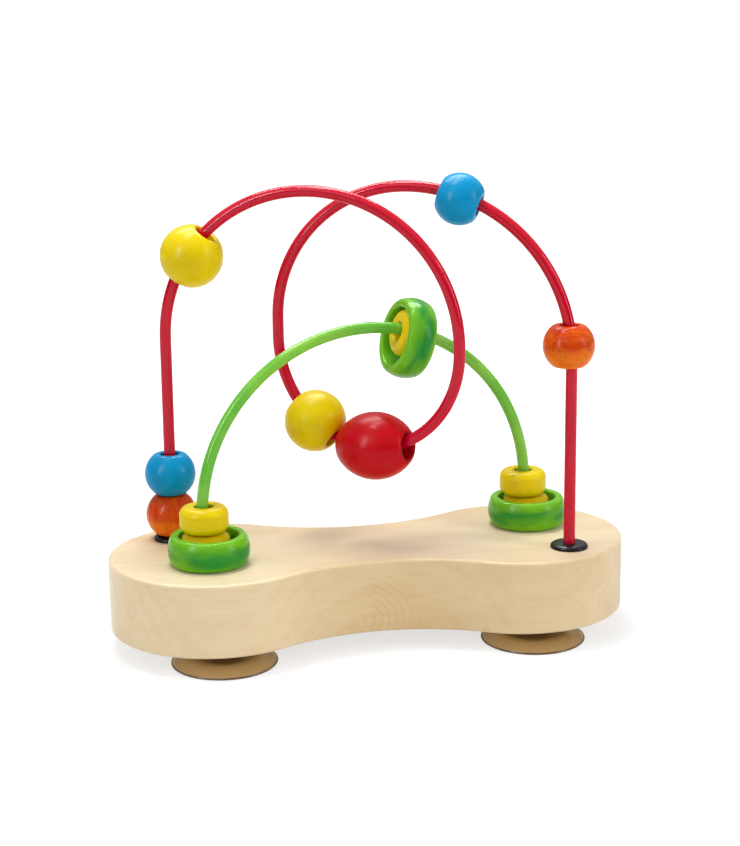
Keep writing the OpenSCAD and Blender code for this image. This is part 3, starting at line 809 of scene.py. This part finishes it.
def ring_of(shape, reaches, height):
    """A ring of points at a height, each at its own reach from the upright axis."""
    return [shape.verts.new((reach * cos(angle), reach * sin(angle), height))
            for reach, angle in zip(reaches, turns_of(len(reaches)))]


def nut_mesh(width, hole, tall):
    """A six-sided nut with its corners turned off."""
    flat, ease = width / 2, tall * 0.14
    hexagon = [flat / cos((angle + pi / 6) % (pi / 3) - pi / 6) for angle in turns_of(FASTENER_SIDES)]
    bore, circle = [hole] * FASTENER_SIDES, [flat] * FASTENER_SIDES
    levels = ((bore, 0), (circle, 0), (hexagon, ease), (hexagon, tall - ease), (circle, tall), (bore, tall))
    shape = bmesh.new()
    rows = [ring_of(shape, reaches, height) for reaches, height in levels]
    strips(shape, rows + rows[:1])
    return finished_mesh("nut", shape, sharp=25)


def screw_mesh(sizes, tall):
    """A pan-head screw, head down: domed head with a cross recess, and a threaded shank to a point."""
    head, shank = sizes.screw_head / 2, sizes.screw_diameter / 2
    head_tall, cross, core = head * 0.62, head * 0.62, shank * 0.78
    floor = [(cross * 0.12, head_tall * 0.55)]
    recess = [(cross * 0.9, head_tall * 0.5), (cross, head_tall * 0.04)]
    dome = [(head * 0.86, head_tall * 0.06), (head * 0.97, head_tall * 0.3), (head, head_tall * 0.7)]
    thread_low, thread_high, steps = head_tall * 1.3, tall - shank * 2.2, THREAD_TURNS * 2
    thread = [(shank if step % 2 else core, thread_low + (thread_high - thread_low) * step / steps)
              for step in range(steps + 1)]
    body = dome + [(head, head_tall), (shank, head_tall)] + thread + [(shank * 0.05, tall)]
    round_shares = [1] * FASTENER_SIDES
    cross_shares = [1 if max(abs(cos(angle)), abs(sin(angle))) > CROSS_ARM else CROSS_GAP
                    for angle in turns_of(FASTENER_SIDES)]
    shape = bmesh.new()
    rows = [ring_of(shape, [radius * share for share in shares], height)
            for shares, profile in ((round_shares, floor), (cross_shares, recess), (round_shares, body))
            for radius, height in profile]
    strips(shape, rows)
    shape.faces.new(rows[0][::-1])
    shape.faces.new(rows[-1])
    return finished_mesh("screw", shape, sharp=35)


def on_leg(node):
    """Direction of the bore of a bead that stands on a leg."""
    return UP


def on_arc(node):
    """Direction of the bore of a bead that hangs on an arc: along the arc where the bead is."""
    return joint_axis(node).cross(middle(node) - joint_place(node)).normalized()


def on_hub(node):
    """Direction of the bore of a ring that spins on its hub."""
    return joint_axis(node)


class MAZE_OT_board(bpy.types.Operator):
    """Builds the wooden board"""
    bl_idname = "maze.board"
    bl_label = "Wooden board"

    def execute(self, context):
        mesh = board_mesh(context.scene.board_sizes)
        board = new_piece("wooden_board", mesh, board_wood(context.scene.maze_colours))
        carried(board, STAND, "pale_wood", "base")
        return {"FINISHED"}


class MAZE_OT_cups(bpy.types.Operator):
    """Builds the four suction cups"""
    bl_idname = "maze.cups"
    bl_label = "Suction cups"

    def execute(self, context):
        part = turned_mesh("cup", cup_profile(context.scene.board_sizes), CUP_SIDES)
        cups = repeated_piece("soft_cups", part, spots(CUPS, 0), amber_plastic(context.scene.maze_colours))
        carried(cups, STAND, "cup_rubber", *CUPS)
        return {"FINISHED"}


class MAZE_OT_fasteners(bpy.types.Operator):
    """Builds the screws, washers and nuts, and finishes the steel cores"""
    bl_idname = "maze.fasteners"
    bl_label = "Fasteners"

    def execute(self, context):
        sizes = context.scene.board_sizes
        steel = zinc_steel(context.scene.maze_colours)
        screw_hole, core_hole = sizes.screw_diameter / 2, context.scene.wire_sizes.core_diameter / 2
        screw = screw_mesh(sizes, height_of("cup_screws"))
        washer = washer_mesh("washer", "cup_washers", CUPS, screw_hole)
        plate = washer_mesh("plate", "wire_washers", COLLARS, core_hole)
        nut = nut_mesh(sizes.nut_width, core_hole, height_of("wire_nuts"))
        parts = (
            ("cross_screws", screw, CUPS, "cup_screws"),
            ("cup_rings", washer, CUPS, "cup_washers"),
            ("foot_rings", plate, COLLARS, "wire_washers"),
            ("foot_nuts", nut, COLLARS, "wire_nuts"),
        )
        for name, mesh, seats, node in parts:
            piece = repeated_piece(name, mesh, spots(seats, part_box(node)[0].z), steel)
            carried(piece, STAND, "steel", node)
        for node in ("red_wire_core", "green_wire_core"):
            slots = frame["nodes"][node].data.materials
            slots.clear()
            slots.append(steel)
        return {"FINISHED"}


class MAZE_OT_wires(bpy.types.Operator):
    """Builds the two coated wires"""
    bl_idname = "maze.wires"
    bl_label = "Coated wires"

    def execute(self, context):
        sizes, colours = context.scene.wire_sizes, context.scene.maze_colours
        red = wire_coating("red_coating", colours.red_coating, colours.red_cloud, gloss=0.52)
        green = wire_coating("green_coating", colours.green_coating, colours.green_cloud, gloss=0.6)
        carried(swept_piece("looped_wire", red_line(), sizes, red), STAND, "red_sleeve", "red_wire_sleeve")
        carried(swept_piece("arched_wire", green_line(), sizes, green), STAND, "green_sleeve", "green_wire_sleeve")
        return {"FINISHED"}


class MAZE_OT_collars(bpy.types.Operator):
    """Builds the four black collars"""
    bl_idname = "maze.collars"
    bl_label = "Collars"

    def execute(self, context):
        part = turned_mesh("collar", collar_profile(context.scene.wire_sizes), COLLAR_SIDES)
        places = spots(COLLARS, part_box(COLLARS[0])[0].z)
        collars = repeated_piece("domed_collars", part, places, moulded_black(context.scene.maze_colours))
        carried(collars, STAND, "collar_black", *COLLARS)
        return {"FINISHED"}


class MAZE_OT_beads(bpy.types.Operator):
    """Turns the beads and rings"""
    bl_idname = "maze.beads"
    bl_label = "Beads and rings"

    def execute(self, context):
        sizes, colours = context.scene.bead_sizes, context.scene.maze_colours
        soft = (sizes.shoulder_round, sizes.mouth_round)
        small = bead_profile(sizes.small_diameter, sizes.small_length, sizes.small_face, sizes.small_bore, *soft)
        large = bead_profile(sizes.large_diameter, sizes.large_length, sizes.large_face, sizes.large_bore, *soft)
        oval = bead_profile(sizes.oval_diameter, sizes.oval_length, sizes.oval_face, sizes.oval_bore, *soft)
        ring_face = sizes.ring_bore + 2 * sizes.ring_lip
        ring = bead_profile(sizes.ring_diameter, sizes.ring_length, ring_face, sizes.ring_bore, *soft)
        squat = squat_profile(sizes.squat_diameter, sizes.squat_length, sizes.squat_round, sizes.squat_bore,
                              sizes.mouth_round)
        finishes = {
            "orange": orange_stain(colours),
            "green": green_stain(colours),
            "blue": lacquer("blue_lacquer", colours.blue, colours.blue_thin, gloss=0.15),
            "yellow": lacquer("yellow_lacquer", colours.yellow, colours.yellow_thin, gloss=0.18),
            "red": lacquer("red_lacquer", colours.red, colours.red_thin, gloss=0.16),
        }
        beads = (
            ("orange_bead_left", small, on_leg, ALONG),
            ("blue_bead_left", small, on_leg, ALONG),
            ("yellow_bead_arch", large, on_arc, ALONG),
            ("red_bead_loop", oval, on_arc, ALONG),
            ("yellow_bead_loop", large, on_arc, ALONG),
            ("blue_bead_arch", small, on_arc, ACROSS),
            ("orange_bead_right", small, on_leg, ACROSS),
            ("green_ring_left", ring, on_leg, ALONG),
            ("green_ring_right", ring, on_leg, ALONG),
            ("green_ring_top", ring, on_hub, ALONG),
            ("yellow_hub_left", squat, on_leg, ALONG),
            ("yellow_hub_right", squat, on_leg, ALONG),
            ("yellow_hub_top", squat, on_arc, ALONG),
            ("yellow_cap_left", squat, on_leg, ALONG),
            ("yellow_cap_right", squat, on_leg, ALONG),
        )
        for count, (node, profile, bore_way, fibre_way) in enumerate(beads):
            colour = node.split("_")[0]
            fibre = Matrix.Translation((0, 0, FIBRE_STEP * count)) @ Matrix.Rotation(fibre_way, 4, "Y")
            mesh = turned_mesh(f"turned_{node}", profile, sizes.sides, middle(node), bore_way(node), fibre)
            carried(new_piece(f"turned_{node}", mesh, finishes[colour]), node, f"{colour}_lacquer", node)
        return {"FINISHED"}


def softbox(name, place, width, height, power, lights):
    """A soft rectangular lamp that faces the part, or a bright card that is only mirrored in it."""
    lamp = bpy.data.lights.new(name, "AREA")
    lamp.shape = "RECTANGLE"
    lamp.size, lamp.size_y, lamp.energy = width, height, power
    holder = new_object(name, lamp)
    holder.location = place
    holder.visible_diffuse = lights
    holder.rotation_euler = (LAMP_TARGET - Vector(place)).to_track_quat("-Z", "Y").to_euler()


def floor_mesh():
    """A large flat sheet at floor level."""
    corners = [(x * FLOOR_REACH, y * FLOOR_REACH, 0) for x, y in ((-1, -1), (1, -1), (1, 1), (-1, 1))]
    return plain_mesh("floor", corners, faces=[(0, 1, 2, 3)])


def floor_paper():
    """White paper, clear from below, that keeps the part's shadow near it and is plain white further out."""
    material = bpy.data.materials.new("floor_paper")
    material.use_nodes = True
    nodes = Nodes(material.node_tree)
    path = nodes.add("ShaderNodeLightPath").outputs
    seen = nodes.math("MAXIMUM", path["Is Camera Ray"], path["Is Glossy Ray"])
    seen = nodes.math("MAXIMUM", seen, path["Is Transmission Ray"])
    reach = nodes.reach(nodes.add("ShaderNodeTexCoord").outputs["Object"])
    plain = nodes.add("ShaderNodeBsdfDiffuse", {"Color": THROWN_SHADE})
    dim = nodes.add("ShaderNodeBsdfDiffuse", {"Color": SEEN_SHADE})
    strength = nodes.span(reach, GLOW_NEAR[0], GLOW_FAR[0], GLOW_NEAR[1], GLOW_FAR[1])
    glow = nodes.add("ShaderNodeEmission", {"Strength": strength})
    bright = nodes.add("ShaderNodeAddShader", {0: dim.outputs[0], 1: glow.outputs[0]})
    upper = nodes.add("ShaderNodeMixShader", {0: seen, 1: plain.outputs[0], 2: bright.outputs[0]})
    below = nodes.add("ShaderNodeNewGeometry").outputs["Backfacing"]
    clear = nodes.add("ShaderNodeBsdfTransparent")
    sided = nodes.add("ShaderNodeMixShader", {0: below, 1: upper.outputs[0], 2: clear.outputs[0]})
    nodes.add("ShaderNodeOutputMaterial", {"Surface": sided.outputs[0]})
    return material


def studio_world():
    """A white tent: soft light all round, white to the camera, mirrored bright overhead and dim at its sides."""
    world = bpy.data.worlds.new("studio")
    world.use_nodes = True
    nodes = Nodes(world.node_tree)
    path = nodes.add("ShaderNodeLightPath").outputs
    place = nodes.add("ShaderNodeTexCoord").outputs["Generated"]
    height = nodes.add("ShaderNodeSeparateXYZ", {0: place}).outputs[2]
    mirrored = nodes.span(height, 0.0, WHITE_FROM, DIM_SIDES, 1.0)
    glossy = nodes.times(path["Is Glossy Ray"], nodes.math("SUBTRACT", mirrored, TENT_LIGHT))
    seen = nodes.math("MAXIMUM", path["Is Camera Ray"], path["Is Transmission Ray"])
    strength = nodes.total(glossy, TENT_LIGHT, nodes.times(seen, 1 - TENT_LIGHT))
    light = nodes.add("ShaderNodeBackground", {"Color": (1, 1, 1), "Strength": strength})
    nodes.add("ShaderNodeOutputWorld", {"Surface": light.outputs[0]})
    return world


def photo_camera():
    """The camera that took the photo."""
    camera = bpy.data.cameras.new("photo_camera")
    camera.lens, camera.sensor_width, camera.clip_start = LENS, SENSOR, NEAR_CLIP
    back = Vector((sin(AZIMUTH) * cos(ELEVATION), -cos(AZIMUTH) * cos(ELEVATION), sin(ELEVATION)))
    turn = (-back).to_track_quat("-Z", "Y").to_matrix() @ Matrix.Rotation(ROLL, 3, "Z")
    holder = new_object("photo_camera", camera)
    holder.matrix_world = Matrix.Translation(AIM + DISTANCE * back) @ turn.to_4x4()
    return holder


class MAZE_OT_stage(bpy.types.Operator):
    """Sets up the floor, the lamps, the background and the camera"""
    bl_idname = "maze.stage"
    bl_label = "Stage"

    def execute(self, context):
        scene = context.scene
        scene.view_settings.view_transform = "Standard"
        new_piece("floor", floor_mesh(), floor_paper())
        for lamp in LAMPS:
            softbox(*lamp)
        scene.world = studio_world()
        scene.camera = photo_camera()
        return {"FINISHED"}


OPERATORS = (MAZE_OT_stage, MAZE_OT_board, MAZE_OT_cups, MAZE_OT_fasteners, MAZE_OT_wires, MAZE_OT_collars,
             MAZE_OT_beads)
GROUPS = (("board_sizes", BoardSizes), ("wire_sizes", WireSizes), ("bead_sizes", BeadSizes),
          ("maze_colours", MazeColours))


class MAZE_PT_panel(bpy.types.Panel):
    """Lists the steps that build the bead maze"""
    bl_idname = "MAZE_PT_panel"
    bl_label = "Bead maze"
    bl_space_type = "VIEW_3D"
    bl_region_type = "UI"
    bl_category = "Bead maze"

    def draw(self, context):
        for operator in OPERATORS:
            self.layout.operator(operator.bl_idname)
        for name, group in GROUPS:
            box = self.layout.box()
            for prop in group.__annotations__:
                box.prop(getattr(context.scene, name), prop)


def register():
    """Registers the classes and hangs the settings on the scene."""
    for name, group in GROUPS:
        bpy.utils.register_class(group)
        setattr(bpy.types.Scene, name, PointerProperty(type=group))
    for item in (*OPERATORS, MAZE_PT_panel):
        bpy.utils.register_class(item)


def unregister():
    """Takes the settings off the scene and drops the classes."""
    for item in (MAZE_PT_panel, *reversed(OPERATORS)):
        bpy.utils.unregister_class(item)
    for name, group in reversed(GROUPS):
        delattr(bpy.types.Scene, name)
        bpy.utils.unregister_class(group)


def main():
    """Builds the scene."""
    register()
    bpy.ops.maze.stage()
    bpy.ops.maze.board()
    bpy.ops.maze.cups()
    bpy.ops.maze.fasteners()
    bpy.ops.maze.wires()
    bpy.ops.maze.collars()
    bpy.ops.maze.beads()


if __name__ == "__main__":
    main()
